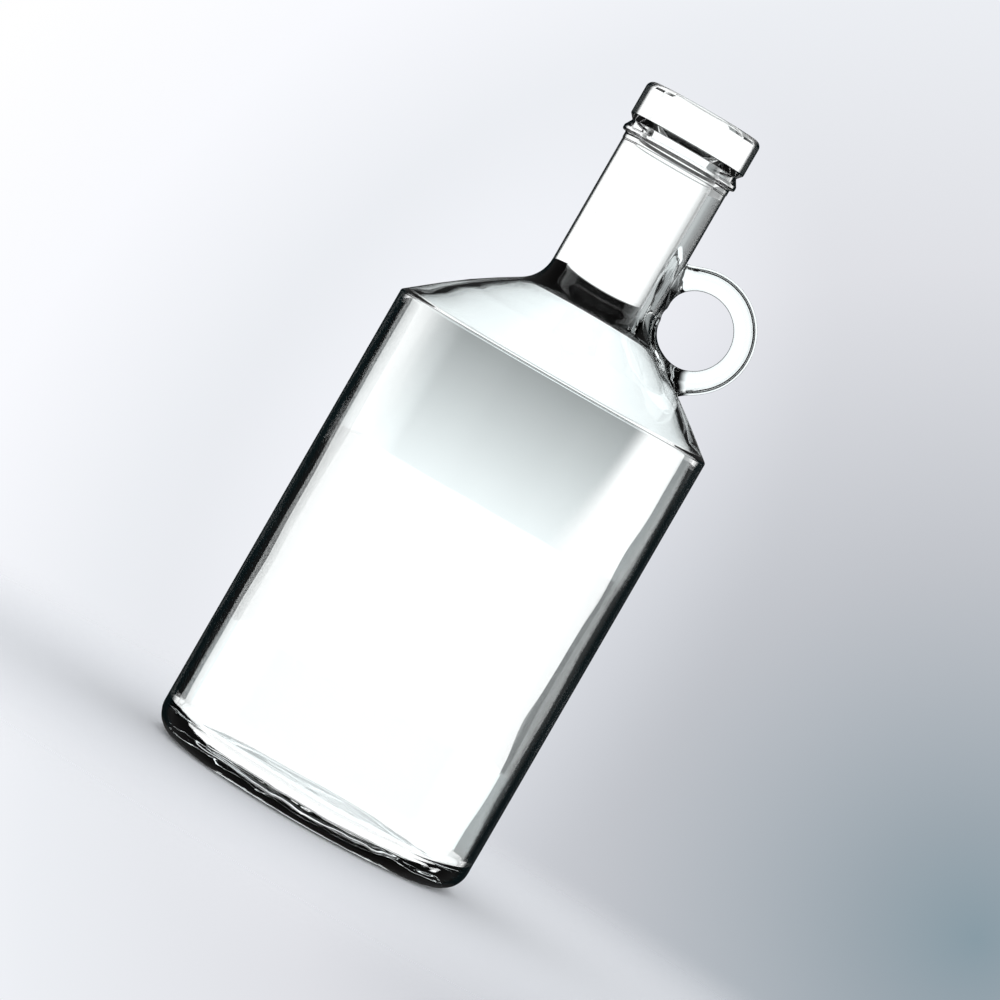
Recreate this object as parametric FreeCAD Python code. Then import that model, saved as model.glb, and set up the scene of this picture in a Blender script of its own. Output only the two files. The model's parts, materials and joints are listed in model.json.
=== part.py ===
import FreeCAD, Part
import math
import os

# Clear glass jug bottle with a finger ring, 750 ml. It stands on z = 0 with its axis on Z,
# and +X points from the axis to the finger ring. All sizes are in millimetres.
# The glass is one fused article, built as the sections of a bottle drawing: base, body wall,
# shoulder, neck, bead and collar, with the finger ring fused to the neck and the shoulder.

# Driving dimensions, outside
BODY_DIAMETER = 91.4
HEIGHT = 210.0
HEEL_RADIUS = 6.8
ARRIS_HEIGHT = 130.6
ARRIS_RADIUS = 1.0
SHOULDER_ANGLE = 31.5
NECK_DIAMETER = 30.9
NECK_ROOT_HEIGHT = 157.2
NECK_ROOT_RADIUS = 9.7
COLLAR_DIAMETER = 33.7
COLLAR_LOW = 199.9
COLLAR_LIP_RADIUS = 1.9
COLLAR_CHAMFER = 0.4
GROOVE_HEIGHT = 198.7
BEAD_DIAMETER = 33.5
BEAD_TOP_DIAMETER = 32.3
BEAD_HIGH = 197.6
BEAD_LOW = 195.3
BEAD_ROUND = 0.8
PARTING_HEIGHT = 193.5
PARTING_STEP = 0.15

# Driving dimensions, inside
WALL = 2.9
BORE_DIAMETER = 23.0
MOUTH_RADIUS = 1.2
BORE_LOW = 158.0
BORE_ROOT_RADIUS = 10.0
INNER_KNEE_DIAMETER = 62.0
INNER_KNEE_HEIGHT = 139.3
INNER_ARRIS_HEIGHT = 130.3
INNER_ARRIS_RADIUS = 0.6
FLOOR_HEIGHT = 5.2
FLOOR_CROWN = 0.4
INNER_HEEL_RADIUS = 4.0

# Underside
LAND_WIDTH = 4.6
PUSH_UP = 2.8

# Finger ring
RING_CENTRE_X = 25.7
RING_CENTRE_HEIGHT = 159.0
RING_HOLE_DIAMETER = 20.9
RING_ROD_DIAMETER = 6.2

# Where the sections meet
BASE_TOP = 18.0
BODY_TOP = 118.0

BODY_RADIUS = BODY_DIAMETER / 2
NECK_RADIUS = NECK_DIAMETER / 2
BORE_RADIUS = BORE_DIAMETER / 2
INNER_RADIUS = BODY_RADIUS - WALL
RING_RADIUS = (RING_HOLE_DIAMETER + RING_ROD_DIAMETER) / 2
CLEAR = 20.0

AXIS_POINT = FreeCAD.Vector(0, 0, 0)
UP = FreeCAD.Vector(0, 0, 1)
ACROSS = FreeCAD.Vector(0, 1, 0)


def at(radius, height):
    """A point of a profile, in the XZ plane."""
    return FreeCAD.Vector(radius, 0, height)


def on_circle(centre, radius, degrees):
    """The point of a circle in the XZ plane at an angle from +X towards +Z."""
    turn = math.radians(degrees)
    return at(centre[0] + radius * math.cos(turn), centre[1] + radius * math.sin(turn))


def arc(centre, radius, start, end):
    """The arc of a circle in the XZ plane, from one angle to another, in degrees."""
    middle = on_circle(centre, radius, (start + end) / 2)
    return Part.Arc(on_circle(centre, radius, start), middle, on_circle(centre, radius, end))


def bowed(start, end, rise):
    """An arc from start to end whose middle stands off the chord by rise, to the left of the way."""
    way = end - start
    side = at(-way.z, way.x).normalize()
    return Part.Arc(start, (start + end) * 0.5 + side * rise, end)


def angle_below_level(start, end):
    """How steeply the straight line between two points falls, in degrees."""
    return math.degrees(math.atan2(abs(end.z - start.z), abs(end.x - start.x)))


def angle_touching(point, centre, radius):
    """Where a line from a point to the lower left of a circle in the XZ plane touches it, in degrees."""
    way = point - centre
    seen = math.degrees(math.acos(radius / way.Length))
    return math.degrees(math.atan2(way.z, way.x)) % 360 - seen


def turned(pieces):
    """The solid of revolution of a profile from the axis to the axis, its gaps closed by straight lines."""
    edges = []
    for piece, following in zip(pieces, pieces[1:] + pieces[:1]):
        edges.append(piece.toShape())
        if piece.EndPoint.distanceToPoint(following.StartPoint) > 1e-6:
            edges.append(Part.LineSegment(piece.EndPoint, following.StartPoint).toShape())
    return Part.Face(Part.Wire(edges)).revolve(AXIS_POINT, UP, 360)


def outside():
    """The jug's outer form, filled."""
    land_radius = BODY_RADIUS - HEEL_RADIUS
    root = (NECK_RADIUS + NECK_ROOT_RADIUS, NECK_ROOT_HEIGHT)
    slope_top = on_circle(root, NECK_ROOT_RADIUS, 270 - SHOULDER_ANGLE)
    chord_angle = angle_below_level(at(BODY_RADIUS, ARRIS_HEIGHT), slope_top)
    arris_angle = 2 * chord_angle - SHOULDER_ANGLE
    tangent = ARRIS_RADIUS * math.tan(math.radians(90 - arris_angle) / 2)
    arris = (BODY_RADIUS - ARRIS_RADIUS, ARRIS_HEIGHT - tangent)
    arris_top = on_circle(arris, ARRIS_RADIUS, 90 - arris_angle)
    bow = arris_top.distanceToPoint(slope_top) / 2 * math.tan(math.radians(chord_angle - SHOULDER_ANGLE) / 2)
    bead = (BEAD_DIAMETER / 2 - BEAD_ROUND, BEAD_LOW + BEAD_ROUND)
    step_radius = NECK_RADIUS + PARTING_STEP
    collar_radius = COLLAR_DIAMETER / 2
    chamfer_low = at(collar_radius - COLLAR_CHAMFER, COLLAR_LOW)
    lip = (collar_radius - COLLAR_LIP_RADIUS, HEIGHT - COLLAR_LIP_RADIUS)
    return turned([
        bowed(at(0, PUSH_UP), at(land_radius - LAND_WIDTH, 0), PUSH_UP / 4),
        arc((land_radius, HEEL_RADIUS), HEEL_RADIUS, 270, 360),
        arc(arris, ARRIS_RADIUS, 0, 90 - arris_angle),
        bowed(arris_top, slope_top, -bow),
        arc(root, NECK_ROOT_RADIUS, 270 - SHOULDER_ANGLE, 180),
        Part.LineSegment(at(NECK_RADIUS, PARTING_HEIGHT), at(step_radius, PARTING_HEIGHT)),
        Part.LineSegment(at(step_radius, BEAD_LOW), at(bead[0], BEAD_LOW)),
        arc(bead, BEAD_ROUND, 270, 380),
        Part.LineSegment(at(BEAD_TOP_DIAMETER / 2, BEAD_HIGH), at(step_radius, GROOVE_HEIGHT)),
        Part.LineSegment(chamfer_low, at(collar_radius, COLLAR_LOW + COLLAR_CHAMFER)),
        arc(lip, COLLAR_LIP_RADIUS, 0, 90),
        Part.LineSegment(at(BORE_RADIUS, HEIGHT), at(0, HEIGHT)),
    ])


def cavity():
    """The space inside, which runs on above the mouth so that a cut opens it."""
    heel = (INNER_RADIUS - INNER_HEEL_RADIUS, FLOOR_HEIGHT + INNER_HEEL_RADIUS)
    knee = at(INNER_KNEE_DIAMETER / 2, INNER_KNEE_HEIGHT)
    slope = angle_below_level(at(INNER_RADIUS, INNER_ARRIS_HEIGHT), knee)
    tangent = INNER_ARRIS_RADIUS * math.tan(math.radians(90 - slope) / 2)
    arris = (INNER_RADIUS - INNER_ARRIS_RADIUS, INNER_ARRIS_HEIGHT - tangent)
    root = at(BORE_RADIUS + BORE_ROOT_RADIUS, BORE_LOW)
    root_angle = angle_touching(knee, root, BORE_ROOT_RADIUS)
    lip = (BORE_RADIUS + MOUTH_RADIUS, HEIGHT - MOUTH_RADIUS)
    return turned([
        bowed(at(0, FLOOR_HEIGHT + FLOOR_CROWN), at(heel[0], FLOOR_HEIGHT), FLOOR_CROWN / 4),
        arc(heel, INNER_HEEL_RADIUS, 270, 360),
        arc(arris, INNER_ARRIS_RADIUS, 0, 90 - slope),
        Part.LineSegment(knee, on_circle((root.x, root.z), BORE_ROOT_RADIUS, root_angle)),
        arc((root.x, root.z), BORE_ROOT_RADIUS, root_angle, 180),
        arc(lip, MOUTH_RADIUS, 180, 90),
        Part.LineSegment(at(lip[0], HEIGHT + CLEAR), at(0, HEIGHT + CLEAR)),
    ])


def slab(low, high):
    """A wide disc between two heights, to cut one section out."""
    return Part.makeCylinder(BODY_RADIUS + CLEAR, high - low, at(0, low))


def finger_ring(filled):
    """A round rod bent to a circle in the XZ plane, cut to the skin of the neck and the shoulder."""
    rod = Part.makeTorus(RING_RADIUS, RING_ROD_DIAMETER / 2, at(RING_CENTRE_X, RING_CENTRE_HEIGHT), ACROSS)
    return rod.cut(filled)


def sections():
    """Every section by its name."""
    filled = outside()
    glass = filled.cut(cavity())
    levels = [
        ("base", -CLEAR, BASE_TOP),
        ("body_wall", BASE_TOP, BODY_TOP),
        ("shoulder", BODY_TOP, NECK_ROOT_HEIGHT),
        ("neck", NECK_ROOT_HEIGHT, PARTING_HEIGHT),
        ("neck_bead", PARTING_HEIGHT, GROOVE_HEIGHT),
        ("collar", GROOVE_HEIGHT, HEIGHT + CLEAR),
    ]
    found = {name: glass.common(slab(low, high)) for name, low, high in levels}
    found["finger_ring"] = finger_ring(filled)
    return found


def main():
    os.makedirs("parts", exist_ok=True)
    for name, shape in sections().items():
        print(name, shape.isValid(), len(shape.Solids), round(shape.Volume, 1))
        shape.exportStep(os.path.join("parts", name + ".step"))
    above_mouth = slab(HEIGHT, HEIGHT + 2 * CLEAR)
    print("brimful ml", round(cavity().cut(above_mouth).Volume / 1000, 1))


main()
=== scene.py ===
import json
import math

import bmesh
import bpy
from mathutils import Matrix, Vector, noise

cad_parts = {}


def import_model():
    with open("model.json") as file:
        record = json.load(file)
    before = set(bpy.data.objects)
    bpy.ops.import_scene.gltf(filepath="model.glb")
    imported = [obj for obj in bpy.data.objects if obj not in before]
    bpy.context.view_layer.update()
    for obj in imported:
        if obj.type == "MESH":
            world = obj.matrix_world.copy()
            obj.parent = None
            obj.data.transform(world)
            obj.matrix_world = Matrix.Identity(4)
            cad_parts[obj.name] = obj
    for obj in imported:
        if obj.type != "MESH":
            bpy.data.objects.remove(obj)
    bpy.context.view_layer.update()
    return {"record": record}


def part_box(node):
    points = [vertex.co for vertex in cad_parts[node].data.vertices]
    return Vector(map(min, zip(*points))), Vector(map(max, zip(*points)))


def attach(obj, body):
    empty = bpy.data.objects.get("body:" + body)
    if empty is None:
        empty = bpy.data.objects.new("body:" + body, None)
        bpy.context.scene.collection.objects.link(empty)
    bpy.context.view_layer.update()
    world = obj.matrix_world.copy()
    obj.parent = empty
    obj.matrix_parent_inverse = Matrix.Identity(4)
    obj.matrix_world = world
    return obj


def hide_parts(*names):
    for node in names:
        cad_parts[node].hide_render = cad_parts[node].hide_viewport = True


# A clear glass jug bottle with a finger ring, in a bright studio. Lengths are in millimetres
# until a mesh or an object is made, where MM turns them to metres.
MM = 0.001

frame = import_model()


def size_of(node):
    """The node's largest radius, lowest height and highest height, in millimetres."""
    low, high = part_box(node)
    return max(high.x, high.y) / MM, low.z / MM, high.z / MM


def mount(name):
    return next(m for m in frame["record"]["mounts"] if m["name"] == name)


# Sizes that the CAD frame gives
BODY_RADIUS = size_of("body_wall")[0]
NECK_RADIUS, NECK_ROOT, PARTING = size_of("neck")
BEAD_RADIUS, _, GROOVE = size_of("neck_bead")
COLLAR_RADIUS, _, HEIGHT = size_of("collar")
BORE_RADIUS = mount("mouth")["dims"]["r_mm"]
RING_CENTRE = Vector(mount("ring_hole")["pos_m"]) / MM
RING_LOW, RING_HIGH = (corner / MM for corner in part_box("finger_ring"))
ROD_RADIUS = (RING_HIGH.y - RING_LOW.y) / 2
RING_RADIUS = RING_HIGH.x - ROD_RADIUS - RING_CENTRE.x
RING_INSIDE = RING_RADIUS - ROD_RADIUS
RING_OUTSIDE = RING_RADIUS + ROD_RADIUS

# The outside of the body and the neck, where the frame's boxes don't show it. The push-up's edge is
# a part of the land's inner radius
PUSH_UP = 2.8
PUSH_UP_EDGE = 0.62
PUSH_UP_ROUND = 30
LAND_INNER = 34.3
LAND_ROUND = 1.5
HEEL_ROUND = 6.8
ARRIS = 130.6
ARRIS_ROUND = 1.0
SHOULDER_ANGLE = math.radians(31.5)
SHOULDER_KNEE = 31.5
KNEE_ROUND = 120
ROOT_ROUND = 9.7

# The finish: the bead starts above the parting and ends below the groove, above which the collar starts
PARTING_STEP = 0.15
PARTING_SLOPE = 0.1
PARTING_ROUND = 0.12
BEAD_START = 1.9
BEAD_ROOT_ROUND = 0.45
BEAD_LOW_ROUND = 0.55
BEAD_END = 2.0
BEAD_TOP_ROUND = 0.8
GROOVE_OUT = 0.1
GROOVE_ROUND = 0.3
COLLAR_START = 1.5
COLLAR_LOW_ROUND = 0.5
LIP_ROUND = 1.9
LIP_FLAT = 2.4

# The inside. The crown's edge is a part of the inner radius
WALL = 2.9
MOUTH_ROUND = 1.2
BORE_LOW = 158.0
BORE_ROOT_ROUND = 10.0
INNER_KNEE = (31.0, 139.3)
INNER_KNEE_ROUND = 40
INNER_ARRIS = 130.3
INNER_ARRIS_ROUND = 0.6
INNER_HEEL_ROUND = 4.0
FLOOR = 5.2
CROWN = 0.4
CROWN_EDGE = 0.5
CROWN_ROUND = 60

# What the mould left on the outside: seams at both sides, and ripples round the bottom, whose waves
# have scales around the axis, outward and upward
SEAM = 0.09
SEAM_WIDTH = 0.35
AXIS_CALM = 5
RIPPLE = 0.18
RIPPLE_TOP = 14
RIPPLE_BROAD = (3, 0.12, 0.5)
RIPPLE_FINE = (8, 0.3, 0)
RIPPLE_FINE_SHARE = 0.5

# How uneven air left the inside, in broad and fine waves, less in the neck and more on the floor
UNEVEN = 0.09
UNEVEN_BROAD = 0.045
UNEVEN_FINE = 0.12
UNEVEN_FINE_SHIFT = Vector((7, 3, 1))
UNEVEN_FINE_SHARE = 0.35
UNEVEN_UPWARD = 0.55
UNEVEN_NECK = 0.35
UNEVEN_SPREAD = 25
UNEVEN_FLOOR = 2
FLOOR_DEPTH = 3

# The ring: its seam, its flare where it nears the jug, and how far it reaches into the skin
RING_SEAM = 0.6
RING_SEAM_WIDTH = 0.045
SKIN_LOW = 120
NEAR_JUG = 0.6
FLARE = 1.5
FLARE_REACH = 1.3
RING_OVERLAP = 0.1

# How the meshes are divided, with more points beside the seams
AROUND = 360
SEAM_CROWDING = 0.3
LONGEST = 3
RING_TURNS = 192
RING_SIDES = 96
RING_CROWDING = 0.75

# The glass: painted shade that darkens its outline where it faces away, and less where it slopes
FLINT = (0.975, 0.99, 0.99, 1)
FLINT_INDEX = 1.52
# The colour of the painted shade along the glass's outline
PAINTED_RIM_SHADE = (0.004, 0.008, 0.009, 1)
OUTLINE = (0.64, 0.76)
OUTLINE_STRENGTH = 0.96
# Above the groove, on the collar, the outline takes more painted shade
FINISH_EDGE = (-0.5, 1)
FINISH_RIM_SHADE_EXTRA = 0.12
SLOPING = (0.4, 0.75)
VESSEL_SLOPES = 0.2
RING_SLOPES = 1.0

# The photograph's view: the bottle leans 30 degrees to the right in the frame
CAMERA_ROLL = math.radians(30)
CAMERA_AWAY = 1500
CAMERA_HEIGHT = 148.6
AIM = Vector((4.1, 0, 95.7))
FRAME_WIDTH = 260.7

# The studio that the glass sees. The sides are bearings, the strip's edges are ranges of a direction's Z
# and the front is a range of its Y
WHITE = (1, 1, 1, 1)
FIELD = 1.3
FIELD_SIDES = 1.1
SIDES = (math.radians(45), math.radians(60))
STRIP_LOW = (0.075, 0.095)
STRIP_HIGH = (0.80, 0.95)
FRONT = (-0.3, 0.0)
FRONT_BOUNCED = 0.04
MIRRORED = 0.05
SCATTERED = 0.95
SCATTERED_COLOUR = (0.95, 0.97, 1, 1)

# The backdrop that the camera sees: a painted shadow, a dark spot brightening with distance, and a painted
# halo of light round the jug
LEAST_BEHIND = 0.05
PAINTED_SHADOW_AT = (0.11, -0.06)
PAINTED_SHADOW_SCALE = 2.0
HALO_SCALE = (20, 11, 0)
HALO_SHIFT = (0, 0.44, 0)
HALO_EDGE = (0.5, 1.0)
PAINTED_HALO_LIGHT = 1.12
BACKDROP_NEAREST = (0.25, 0.33, 0.38, 1)
BACKDROP_FARTHEST = (0.80, 0.82, 0.85, 1)
BACKDROP = {
    0.04: (0.33, 0.385, 0.43),
    0.13: (0.53, 0.55, 0.59),
    0.235: (0.74, 0.75, 0.79),
    0.33: (0.84, 0.86, 0.90),
    0.39: (0.95, 0.96, 1.0),
    0.46: (1.0, 1.0, 1.0),
    0.60: (0.98, 0.98, 1.0),
}

# Curved flags: from and to a bearing in degrees from +Y towards +X, and a strength
GLOW_COLOUR = (0.95, 1.0, 1.01, 1)
FLAG_AWAY = 1000
FLAG_HEIGHTS = (-112, 130)
FLAG_PARTS = 16
FLAGS = {
    "left_flag": (-60, -21, 0.01),
    "right_flag_near": (12.5, 22.5, 0.33),
    "right_flag": (22.5, 60, 0.04),
}

# The panel, and how it fades to its left, to its leaning right and, in strength, downwards
PANEL_X = (-52, 36)
PANEL_Z = (90, 131.2)
PANEL_BACK = 50
PANEL_LEFT_FADE = 20
PANEL_RIGHT_FADE = 8
PANEL_LEAN = 0.16
PANEL_STRENGTHS = (0.41, 1.18)

# Upright sheets: their X and Z ranges and their Y
SHOULDER_GLOW = ((-50, 50), (131.4, 151), 50)
BASE_GLOW = ((-50, 50), (5.5, 30), 48)
RING_GLOW = ((16, 44), (138, 177), 4)
NECK_SHADE = ((10, 70), (158, 197), 20)
NECK_SIDE_SHADE = ((14.4, 40), (158, 192), 6)

# Edges within the ring's glow: off the ring's centre, along the shoulder's slope, and in X and Z
GLOW_HOLE_EDGE = (RING_INSIDE - 0.8, RING_INSIDE - 0.5)
GLOW_RIM_EDGE = (RING_OUTSIDE + 0.8, RING_OUTSIDE + 1.2)
GLOW_HOLE_FADE = (RING_INSIDE, RING_INSIDE + 3.2)
GLOW_STRENGTHS = (0.85, 1.2)
GLOW_SLOPE_EDGE = (161.3, 161.6)
SLOPE_FOOT = (163, 165.5)
NECK_FOOT_X = (17, 20.5)
NECK_FOOT_Z = (166, 168)

# Shades beside the neck: X ranges, and how they change along them
BEHIND_X = (11, 22)
BEHIND_COVER = (0.0, 0.75)
BEHIND_STRENGTH = 0.2
BESIDE_X = (15, 26)
BESIDE_STRENGTHS = (0.12, 0.6)

FLOOR_RADIUS = 260
FLOOR_PARTS = 64
FLOOR_FADE = (FLOOR_RADIUS * 0.2 * MM, FLOOR_RADIUS * 0.98 * MM)
FLOOR_COLOUR = (0.86, 0.87, 0.89, 1)


# ---------------------------------------------------------------- profiles

def rounded(corners, turn_step=math.radians(6)):
    """A line through corners (radius, height, rounding) with each corner turned into a tangent arc."""
    points = [Vector(corners[0][:2])]
    for before, corner, after in zip(corners, corners[1:], corners[2:]):
        here = Vector(corner[:2])
        back = (Vector(before[:2]) - here).normalized()
        ahead = (Vector(after[:2]) - here).normalized()
        turn = math.pi - back.angle(ahead)
        if corner[2] == 0 or turn < 1e-4:
            points.append(here)
            continue
        centre = here + (back + ahead).normalized() * corner[2] / math.cos(turn / 2)
        start = here + back * corner[2] * math.tan(turn / 2)
        side = 1 if back.cross(ahead) < 0 else -1
        steps = max(2, math.ceil(turn / turn_step))
        for i in range(steps + 1):
            points.append(centre + Matrix.Rotation(side * turn * i / steps, 2) @ (start - centre))
    points.append(Vector(corners[-1][:2]))
    return points


def divided(points, longest):
    """The same line with its long stretches cut into pieces no longer than given."""
    line = [points[0]]
    for start, end in zip(points, points[1:]):
        pieces = max(1, math.ceil((end - start).length / longest))
        line += [start.lerp(end, i / pieces) for i in range(1, pieces + 1)]
    return line


def outer_profile():
    """The outside, from the middle of the underside to the lip's flat top."""
    root = NECK_ROOT - ROOT_ROUND * math.tan((math.pi / 2 - SHOULDER_ANGLE) / 2)
    knee = root - math.tan(SHOULDER_ANGLE) * (SHOULDER_KNEE - NECK_RADIUS)
    return rounded([
        (0, PUSH_UP, 0),
        (LAND_INNER * PUSH_UP_EDGE, PUSH_UP, PUSH_UP_ROUND),
        (LAND_INNER, 0, LAND_ROUND),
        (BODY_RADIUS, 0, HEEL_ROUND),
        (BODY_RADIUS, ARRIS, ARRIS_ROUND),
        (SHOULDER_KNEE, knee, KNEE_ROUND),
        (NECK_RADIUS, root, ROOT_ROUND),
        (NECK_RADIUS, PARTING, PARTING_ROUND),
        (NECK_RADIUS + PARTING_STEP, PARTING + PARTING_SLOPE, PARTING_ROUND),
        (NECK_RADIUS + PARTING_STEP, PARTING + BEAD_START, BEAD_ROOT_ROUND),
        (BEAD_RADIUS, PARTING + BEAD_START, BEAD_LOW_ROUND),
        (BEAD_RADIUS, GROOVE - BEAD_END, BEAD_TOP_ROUND),
        (NECK_RADIUS + GROOVE_OUT, GROOVE, GROOVE_ROUND),
        (COLLAR_RADIUS, GROOVE + COLLAR_START, COLLAR_LOW_ROUND),
        (COLLAR_RADIUS, HEIGHT, LIP_ROUND),
        (BORE_RADIUS + LIP_FLAT, HEIGHT, 0),
    ])


def inner_profile():
    """The inside, from the lip's flat top to the middle of the floor."""
    inner = BODY_RADIUS - WALL
    fall = math.atan2(BORE_LOW - BORE_ROOT_ROUND / 2 - INNER_KNEE[1], INNER_KNEE[0] - BORE_RADIUS)
    root = BORE_LOW - BORE_ROOT_ROUND * math.tan((math.pi / 2 - fall) / 2)
    return rounded([
        (BORE_RADIUS + LIP_FLAT, HEIGHT, 0),
        (BORE_RADIUS, HEIGHT, MOUTH_ROUND),
        (BORE_RADIUS, root, BORE_ROOT_ROUND),
        (*INNER_KNEE, INNER_KNEE_ROUND),
        (inner, INNER_ARRIS, INNER_ARRIS_ROUND),
        (inner, FLOOR, INNER_HEEL_ROUND),
        (inner * CROWN_EDGE, FLOOR + CROWN, CROWN_ROUND),
        (0, FLOOR + CROWN, 0),
    ])


# ---------------------------------------------------------------- meshes

def spin(*stretches):
    """A closed mesh turned about Z from stretches of profile, each with what it does to its points."""
    mesh = bmesh.new()
    rings = []
    steps = [math.tau * i / AROUND for i in range(AROUND)]
    angles = [t - SEAM_CROWDING * math.sin(2 * t) for t in steps]
    for line, moved in stretches:
        for radius, height in line:
            if radius < 1e-6:
                rings.append([mesh.verts.new((0, 0, height * MM))])
                continue
            ring = []
            for angle in angles:
                r, z = moved(angle, radius, height)
                ring.append(mesh.verts.new((r * math.cos(angle) * MM, r * math.sin(angle) * MM, z * MM)))
            rings.append(ring)
    for low, high in zip(rings, rings[1:]):
        for i in range(AROUND):
            j = (i + 1) % AROUND
            corners = [low[i % len(low)], low[j % len(low)], high[j % len(high)], high[i % len(high)]]
            mesh.faces.new(list(dict.fromkeys(corners)))
    bmesh.ops.recalc_face_normals(mesh, faces=mesh.faces)
    return mesh


def placed(name, data):
    """A new object of the scene with this data."""
    made = bpy.data.objects.new(name, data)
    bpy.context.scene.collection.objects.link(made)
    return made


def made_of(name, mesh):
    """A new object of the scene from a bmesh, which is freed."""
    data = bpy.data.meshes.new(name)
    mesh.to_mesh(data)
    mesh.free()
    return placed(name, data)


def piece(name, mesh, material, *nodes):
    """A smooth piece of glass that stands for CAD nodes."""
    made = made_of(name, mesh)
    made.data.shade_smooth()
    made.data.materials.append(material)
    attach(made, "root")
    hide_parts(*nodes)
    return made


def plain(angle, radius, height):
    """A point of a profile left where it is."""
    return radius, height


def ripple(angle, radius, height, scales):
    """Noise by angle, radius and height, with a scale for each."""
    around, outward, upward = scales
    along = radius * outward + height * upward
    return noise.noise(Vector((math.cos(angle) * around, math.sin(angle) * around, along)))


def moulded(angle, radius, height):
    """The outside: a fine seam on both sides of the body, where the mould met, and a rippled bottom."""
    if radius < AXIS_CALM or height > GROOVE:
        return radius, height
    off_seam = math.sin(angle) * radius / SEAM_WIDTH
    if height < ARRIS:
        radius -= SEAM * (1 - math.exp(-off_seam ** 2))
    low = max(0, 1 - height / RIPPLE_TOP)
    wave = ripple(angle, radius, height, RIPPLE_BROAD)
    wave += RIPPLE_FINE_SHARE * ripple(angle, radius, height, RIPPLE_FINE)
    return radius - abs(wave) * RIPPLE * low, height + abs(wave) * RIPPLE * low


def blown(angle, radius, height):
    """The inside: shaped by air alone, so gently uneven, least in the neck and most on the floor."""
    if height > GROOVE:
        return radius, height
    spot = Vector((math.cos(angle) * radius, math.sin(angle) * radius, height * UNEVEN_UPWARD))
    wave = noise.noise(spot * UNEVEN_BROAD)
    wave += UNEVEN_FINE_SHARE * noise.noise(spot * UNEVEN_FINE + UNEVEN_FINE_SHIFT)
    wide = min(1, max(0, (radius - BORE_RADIUS) / UNEVEN_SPREAD))
    sunk = wave * UNEVEN * UNEVEN_FLOOR if height < FLOOR + FLOOR_DEPTH else 0
    return radius + wave * UNEVEN * (UNEVEN_NECK + wide), height + sunk


def vessel():
    """The jug without its ring, as one closed skin, with no walls within the glass."""
    outer = divided(outer_profile(), LONGEST)
    inner = divided(inner_profile(), LONGEST)
    nodes = ("base", "body_wall", "shoulder", "neck", "neck_bead", "collar")
    mesh = spin((outer, moulded), (inner[1:], blown))
    return piece("glass_vessel", mesh, glass("flint_glass_vessel", VESSEL_SLOPES), *nodes)


def off_line(line, point):
    """How far a point is from a line of points."""
    nearest = math.inf
    for start, end in zip(line, line[1:]):
        way = end - start
        part = min(1, max(0, (point - start).dot(way) / way.length_squared))
        nearest = min(nearest, (point - start - way * part).length)
    return nearest


def rod_radius(around):
    """The rod's radius, slimmer on its outer side, where the mould's seam stands proud of it."""
    outward = max(0, math.cos(around))
    off_seam = (math.sin(around / 2) / RING_SEAM_WIDTH) ** 4
    return ROD_RADIUS - RING_SEAM * outward ** 0.5 * (1 - math.exp(-off_seam))


def rod_point(along, around, radius):
    """A point of the rod's skin, by its angle along the ring, its angle around the rod and a radius."""
    reach = RING_RADIUS + radius * math.cos(around)
    x = RING_CENTRE.x + reach * math.cos(along)
    z = RING_CENTRE.z + reach * math.sin(along)
    return x, radius * math.sin(around), z


def rod():
    """A rod bent to a closed circle and flared where it comes near the jug's skin."""
    mesh = bmesh.new()
    skin = [p for p in outer_profile() if SKIN_LOW < p.y < PARTING + 1]
    grid = []
    for i in range(RING_TURNS):
        along = math.tau * i / RING_TURNS
        loop = []
        for j in range(RING_SIDES):
            turn = math.tau * j / RING_SIDES
            around = turn - RING_CROWDING * math.sin(turn)
            radius = rod_radius(around)
            x, y, z = rod_point(along, around, radius)
            if math.cos(along) < NEAR_JUG:
                off = off_line(skin, Vector((math.hypot(x, y), z)))
                x, y, z = rod_point(along, around, radius + FLARE * math.exp(-off / FLARE_REACH))
            loop.append(mesh.verts.new((x * MM, y * MM, z * MM)))
        grid.append(loop)
    for i in range(RING_TURNS):
        here, following = grid[i], grid[(i + 1) % RING_TURNS]
        for j in range(RING_SIDES):
            k = (j + 1) % RING_SIDES
            mesh.faces.new((here[j], following[j], following[k], here[k]))
    bmesh.ops.recalc_face_normals(mesh, faces=mesh.faces)
    return mesh


def finger_ring():
    """The ring, cut off just inside the jug's skin."""
    ring = piece("glass_ring", rod(), glass("flint_glass_ring", RING_SLOPES), "finger_ring")
    inset = Vector((RING_OVERLAP, 0))
    filled = [p - inset if p.x > RING_OVERLAP else p for p in outer_profile()]
    cutter = made_of("cutter", spin((filled + [Vector((0, HEIGHT))], plain)))
    cut = ring.modifiers.new("cut", "BOOLEAN")
    cut.operation = "DIFFERENCE"
    cut.solver = "EXACT"
    cut.object = cutter
    depsgraph = bpy.context.evaluated_depsgraph_get()
    made = bpy.data.meshes.new_from_object(ring.evaluated_get(depsgraph))
    ring.modifiers.clear()
    ring.data = made
    bpy.data.objects.remove(cutter)
    made.shade_smooth()
    return ring


# ---------------------------------------------------------------- nodes

def wired(tree, kind, *values, **settings):
    """A node's first output, its first inputs set to numbers or linked."""
    node = tree.nodes.new("ShaderNode" + kind)
    for name, value in settings.items():
        setattr(node, name, value)
    for socket, value in zip(node.inputs, values):
        if isinstance(value, bpy.types.NodeSocket):
            tree.links.new(value, socket)
        else:
            socket.default_value = value
    return node.outputs[0]


def maths(tree, operation, *values):
    return wired(tree, "Math", *values, operation=operation)


def times(tree, first, second):
    return maths(tree, "MULTIPLY", first, second)


def step(tree, value, low, high, to_low=0.0, to_high=1.0):
    """A smooth step from to_low to to_high while value goes from low to high."""
    return wired(tree, "MapRange", value, low, high, to_low, to_high, interpolation_type="SMOOTHSTEP")


def blend(tree, factor, low, high):
    return wired(tree, "MixShader", factor, low, high)


def parts_of(tree, vector):
    split = tree.nodes.new("ShaderNodeSeparateXYZ")
    tree.links.new(vector, split.inputs[0])
    return list(split.outputs)


def length_of(tree, vector):
    return wired(tree, "VectorMath", vector, operation="LENGTH").node.outputs["Value"]


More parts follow.
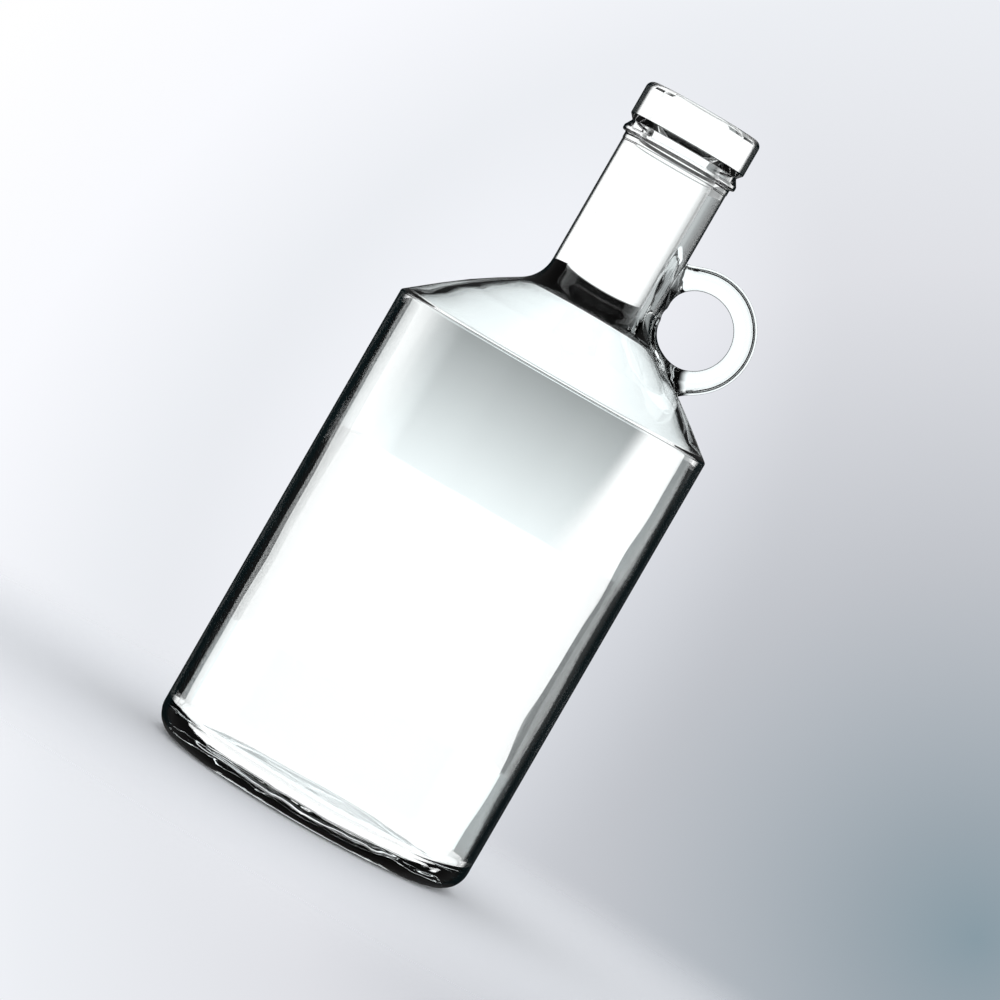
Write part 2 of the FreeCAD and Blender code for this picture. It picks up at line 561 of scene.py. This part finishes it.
def distance(tree, across, upward):
    squares = [maths(tree, "POWER", part, 2) for part in (across, upward)]
    return maths(tree, "SQRT", maths(tree, "ADD", *squares))


def given(tree, kind, name):
    """An output, by its name, of a node that needs no input."""
    return tree.nodes.new("ShaderNode" + kind).outputs[name]


def light_path(tree, name):
    return given(tree, "LightPath", name)


def surfaced(name, surface):
    """A new material whose only surface is a function of its node tree."""
    made = bpy.data.materials.new(name)
    made.use_nodes = True
    tree = made.node_tree
    tree.nodes.clear()
    tree.links.new(surface(tree), tree.nodes.new("ShaderNodeOutputMaterial").inputs["Surface"])
    return made


# ---------------------------------------------------------------- glass

def glass(name, slopes):
    """Clear flint glass with a painted dark outline, the shade that dark cards would give it, painted for
    camera rays only, times slopes where it slopes.
    """
    made = bpy.data.materials.new(name)
    made.use_nodes = True
    tree = made.node_tree
    shader = tree.nodes["Principled BSDF"]
    shader.inputs["Base Color"].default_value = FLINT
    shader.inputs["Roughness"].default_value = 0.0
    shader.inputs["IOR"].default_value = FLINT_INDEX
    shader.inputs["Transmission Weight"].default_value = 1.0
    facing = given(tree, "LayerWeight", "Facing")
    height = parts_of(tree, given(tree, "TexCoord", "Object"))[2]
    upward = maths(tree, "ABSOLUTE", parts_of(tree, given(tree, "NewGeometry", "Normal"))[2])
    # More painted shade on the outline above the groove
    low, high = ((GROOVE + off) * MM for off in FINISH_EDGE)
    facing = maths(tree, "ADD", facing, step(tree, height, low, high, 0.0, FINISH_RIM_SHADE_EXTRA))
    # The painted shade: dark where the glass faces away, less where it slopes, for camera rays only
    edge = step(tree, facing, *OUTLINE, 0.0, OUTLINE_STRENGTH)
    edge = times(tree, edge, step(tree, upward, *SLOPING, 1.0, slopes))
    rim = times(tree, edge, light_path(tree, "Is Camera Ray"))
    both = blend(tree, rim, shader.outputs[0], wired(tree, "BsdfDiffuse", PAINTED_RIM_SHADE))
    tree.links.new(both, tree.nodes["Material Output"].inputs["Surface"])
    return made


# ---------------------------------------------------------------- stage

def camera():
    data = bpy.data.cameras.new("camera")
    made = placed("camera", data)
    place = Vector((AIM.x, -CAMERA_AWAY, CAMERA_HEIGHT))
    back = (place - AIM).normalized()
    upright = Vector((0, 0, 1))
    right = upright.cross(back).normalized()
    up = back.cross(right)
    rolled_right = right * math.cos(CAMERA_ROLL) + up * math.sin(CAMERA_ROLL)
    rolled_up = up * math.cos(CAMERA_ROLL) - right * math.sin(CAMERA_ROLL)
    made.matrix_world = Matrix((rolled_right, rolled_up, back)).transposed().to_4x4()
    made.location = place * MM
    data.lens = data.sensor_width * (place - AIM).length / FRAME_WIDTH
    data.clip_start = 0.01
    data.clip_end = 100
    bpy.context.scene.camera = made


def backdrop(tree, x, y, z):
    """What the camera sees behind the jug: nearly white, greyer to the lower right by a painted shadow, and
    lighter at the jug by painted light.
    """
    behind = maths(tree, "MAXIMUM", y, LEAST_BEHIND)
    across = maths(tree, "DIVIDE", x, behind)
    upward = maths(tree, "DIVIDE", z, behind)
    both = wired(tree, "CombineXYZ", across, upward)
    # Painted light: a halo that makes the backdrop lighter round the jug
    off_jug = wired(tree, "VectorMath", both, HALO_SCALE, HALO_SHIFT, operation="MULTIPLY_ADD")
    lighter = step(tree, length_of(tree, off_jug), *HALO_EDGE, PAINTED_HALO_LIGHT, 1.0)
    # Painted shadow: greyer the nearer to its spot at the lower right
    off_spot = [maths(tree, "SUBTRACT", here, spot) for here, spot in zip((across, upward), PAINTED_SHADOW_AT)]
    ramp = tree.nodes.new("ShaderNodeValToRGB")
    tree.links.new(times(tree, distance(tree, *off_spot), PAINTED_SHADOW_SCALE), ramp.inputs[0])
    ramp.color_ramp.elements[0].color = BACKDROP_NEAREST
    ramp.color_ramp.elements[1].color = BACKDROP_FARTHEST
    for place, colour in BACKDROP.items():
        ramp.color_ramp.elements.new(place).color = (*colour, 1)
    return wired(tree, "Background", ramp.outputs[0], lighter)


def world():
    """A studio: a backdrop for the camera, and for the glass a bright field, dark in a strip above level."""
    made = bpy.data.worlds.new("studio")
    bpy.context.scene.world = made
    made.use_nodes = True
    tree = made.node_tree
    tree.nodes.clear()
    x, y, z = parts_of(tree, given(tree, "TexCoord", "Generated"))
    sideways = maths(tree, "ABSOLUTE", maths(tree, "ARCTAN2", x, y))
    soft = step(tree, sideways, *SIDES, FIELD, FIELD_SIDES)
    strip = times(tree, step(tree, z, *STRIP_LOW), step(tree, z, *STRIP_HIGH, 1.0, 0.0))
    field = times(tree, soft, maths(tree, "SUBTRACT", 1.0, strip))
    bounced = maths(tree, "MINIMUM", light_path(tree, "Glossy Depth"), 1.0)
    bounced_in_front = times(tree, bounced, step(tree, y, *FRONT, 1.0, 0.0))
    field = times(tree, field, step(tree, bounced_in_front, 0.0, 1.0, 1.0, FRONT_BOUNCED))
    through = wired(tree, "Background", WHITE, field)
    mirrored = wired(tree, "Background", WHITE, times(tree, soft, MIRRORED))
    scattered = wired(tree, "Background", SCATTERED_COLOUR, SCATTERED)
    hidden = blend(tree, light_path(tree, "Is Reflection Ray"), through, mirrored)
    hidden = blend(tree, light_path(tree, "Is Diffuse Ray"), hidden, scattered)
    both = blend(tree, light_path(tree, "Is Camera Ray"), hidden, backdrop(tree, x, y, z))
    tree.links.new(both, tree.nodes.new("ShaderNodeOutputWorld").inputs["Surface"])


def card(name, corners, faces, surface, *, glossy=True):
    """A card for the glass to see, unseen by the camera."""
    data = bpy.data.meshes.new(name)
    data.from_pydata([Vector(c) * MM for c in corners], [], faces)
    made = placed(name, data)
    data.materials.append(surfaced(name, surface))
    made.visible_camera = False
    made.visible_diffuse = False
    made.visible_shadow = False
    made.visible_glossy = glossy


def glow(strength):
    return lambda tree: wired(tree, "Emission", GLOW_COLOUR, strength)


def flag(name, start, end, strength):
    """An arc of dim card beside the body, from one bearing to another."""
    bearings = [math.radians(start + (end - start) * i / FLAG_PARTS) for i in range(FLAG_PARTS + 1)]
    feet = [(FLAG_AWAY * math.sin(b), FLAG_AWAY * math.cos(b)) for b in bearings]
    corners = [(*foot, height) for height in FLAG_HEIGHTS for foot in feet]
    above = len(feet)
    faces = [(i, i + 1, i + 1 + above, i + above) for i in range(FLAG_PARTS)]
    card(name, corners, faces, glow(strength))


def sheet(name, x, z, back, surface):
    """An upright rectangle behind the glass, for the rays that have come through it."""
    corners = [(x[0], back, z[0]), (x[1], back, z[0]), (x[1], back, z[1]), (x[0], back, z[1])]
    card(name, corners, [(0, 1, 2, 3)], surface, glossy=False)


def here_in_mm(tree):
    return [maths(tree, "DIVIDE", axis, MM) for axis in parts_of(tree, given(tree, "TexCoord", "Object"))]


def from_front(tree, cover):
    """The cover, but none from behind."""
    return times(tree, cover, maths(tree, "SUBTRACT", 1.0, given(tree, "NewGeometry", "Backfacing")))


def veil(tree, cover, strength):
    """A glow that covers what lies behind it by a factor, and nothing from its own back."""
    clear = wired(tree, "BsdfTransparent", WHITE)
    return blend(tree, from_front(tree, cover), clear, glow(strength)(tree))


def panel():
    """A grey card behind the body, under the shoulder, that fades out downwards and to its sides."""
    left, right = PANEL_X
    bottom, top = PANEL_Z

    def surface(tree):
        x, _, z = here_in_mm(tree)
        leaning = maths(tree, "ADD", x, times(tree, maths(tree, "SUBTRACT", top, z), PANEL_LEAN))
        from_left = step(tree, x, left, left + PANEL_LEFT_FADE)
        from_right = step(tree, leaning, right - PANEL_RIGHT_FADE, right, 1.0, 0.0)
        grey = wired(tree, "MapRange", z, top, bottom, *PANEL_STRENGTHS)
        return veil(tree, times(tree, from_left, from_right), grey)

    sheet("panel", PANEL_X, PANEL_Z, PANEL_BACK, surface)


def ring_glow():
    """A sheet behind the ring, bright except along the ring's feet, a little dimmer towards the hole."""
    def surface(tree):
        x, _, z = here_in_mm(tree)
        across = maths(tree, "SUBTRACT", x, RING_CENTRE.x)
        upward = maths(tree, "SUBTRACT", z, RING_CENTRE.z)
        off_centre = distance(tree, across, upward)
        off_slope = maths(tree, "ADD", z, times(tree, x, math.tan(SHOULDER_ANGLE)))
        off_hole = step(tree, off_centre, *GLOW_HOLE_EDGE)
        beside_rod = times(tree, off_hole, step(tree, off_centre, *GLOW_RIM_EDGE, 1.0, 0.0))
        cover = times(tree, beside_rod, step(tree, off_slope, *GLOW_SLOPE_EDGE))
        off_neck = maths(tree, "MAXIMUM", step(tree, x, *NECK_FOOT_X), step(tree, z, *NECK_FOOT_Z))
        off_feet = times(tree, off_neck, step(tree, off_slope, *SLOPE_FOOT))
        bright = times(tree, off_feet, step(tree, off_centre, *GLOW_HOLE_FADE, *GLOW_STRENGTHS))
        return veil(tree, cover, bright)

    sheet("ring_glow", *RING_GLOW, surface)


def neck_shade():
    """Two grey cards beside the neck, which shade its right side towards its edge."""
    def behind(tree):
        cover = step(tree, here_in_mm(tree)[0], *BEHIND_X, *BEHIND_COVER)
        return veil(tree, cover, BEHIND_STRENGTH)

    def beside(tree):
        grey = wired(tree, "MapRange", here_in_mm(tree)[0], *BESIDE_X, *BESIDE_STRENGTHS)
        return veil(tree, 1.0, grey)

    sheet("neck_shade", *NECK_SHADE, behind)
    sheet("neck_side_shade", *NECK_SIDE_SHADE, beside)


def floor():
    """A pale disc that fades out at its rim, seen from above only."""
    data = bpy.data.meshes.new("floor")
    turns = [math.tau * i / FLOOR_PARTS for i in range(FLOOR_PARTS)]
    rim = [(FLOOR_RADIUS * math.cos(turn), FLOOR_RADIUS * math.sin(turn), 0) for turn in turns]
    data.from_pydata([Vector(c) * MM for c in rim], [], [tuple(range(FLOOR_PARTS))])
    made = placed("floor", data)

    def surface(tree):
        away = length_of(tree, given(tree, "TexCoord", "Object"))
        shown = from_front(tree, step(tree, away, *FLOOR_FADE, 1.0, 0.0))
        pale = wired(tree, "BsdfDiffuse", FLOOR_COLOUR)
        return blend(tree, shown, wired(tree, "BsdfTransparent", WHITE), pale)

    data.materials.append(surfaced("floor", surface))
    made.visible_transmission = False
    made.visible_glossy = False


def main():
    bpy.context.scene.view_settings.view_transform = "Standard"
    camera()
    world()
    for name, arc in FLAGS.items():
        flag(name, *arc)
    panel()
    sheet("shoulder_glow", *SHOULDER_GLOW, glow(FIELD))
    sheet("base_glow", *BASE_GLOW, glow(FIELD))
    ring_glow()
    neck_shade()
    floor()
    vessel()
    finger_ring()


main()
